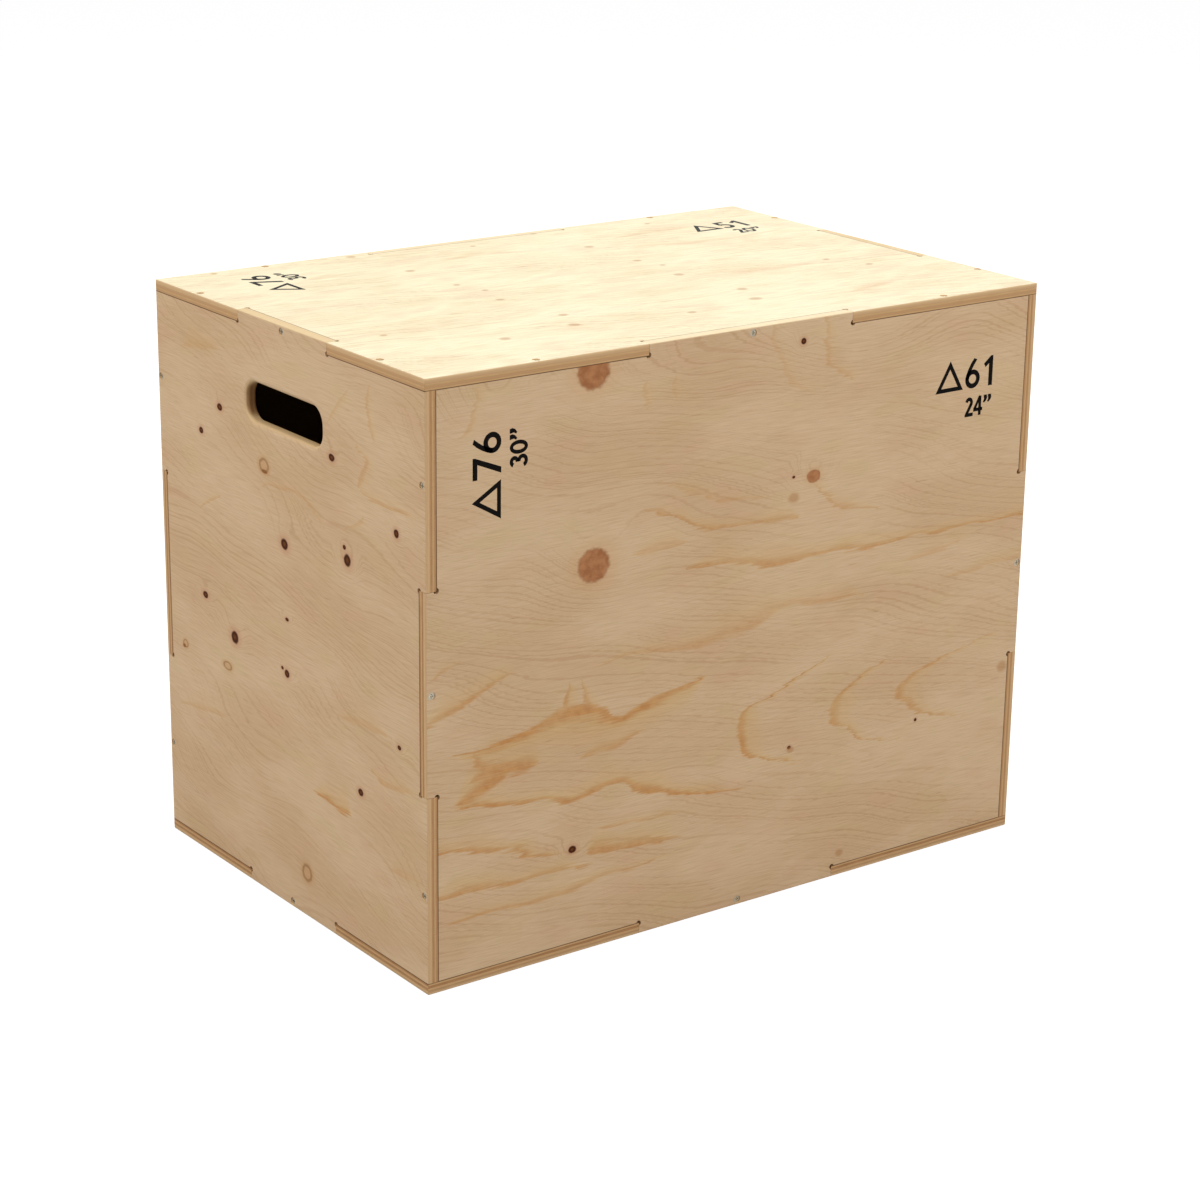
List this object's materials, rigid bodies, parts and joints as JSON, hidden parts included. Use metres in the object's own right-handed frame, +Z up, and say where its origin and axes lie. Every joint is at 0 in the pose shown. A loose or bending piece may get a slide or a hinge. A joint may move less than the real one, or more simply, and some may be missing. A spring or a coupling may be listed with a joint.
{
  "type": "plyo box",
  "caption": "Rectangular plywood jump box with finger-jointed, screwed panels and a hand slot in each end; it stands on any side to give three landing heights.",
  "frame": {"origin": "middle of the underside, at the centre of the box's plan", "axes": "+X along the front to the right, +Y from front to back, +Z up in the 61 cm stance"},
  "size_m": [0.76, 0.51, 0.61],
  "materials": {
    "plywood": "bare sanded softwood plywood, eased edges",
    "screw_steel": "zinc-plated, yellow passivated"
  },
  "bodies": {
    "root": {"top_panel": "plywood", "bottom_panel": "plywood", "front_panel": "plywood", "back_panel": "plywood", "left_end_panel": "plywood", "right_end_panel": "plywood", "inner_brace": "plywood", "top_left_screws": "screw_steel", "top_right_screws": "screw_steel", "top_front_screws": "screw_steel", "top_back_screws": "screw_steel", "bottom_left_screws": "screw_steel", "bottom_right_screws": "screw_steel", "bottom_back_screws": "screw_steel", "bottom_front_screws": "screw_steel", "front_left_screws": "screw_steel", "front_right_screws": "screw_steel", "back_right_screws": "screw_steel", "back_left_screws": "screw_steel"}
  },
  "joints": []
}
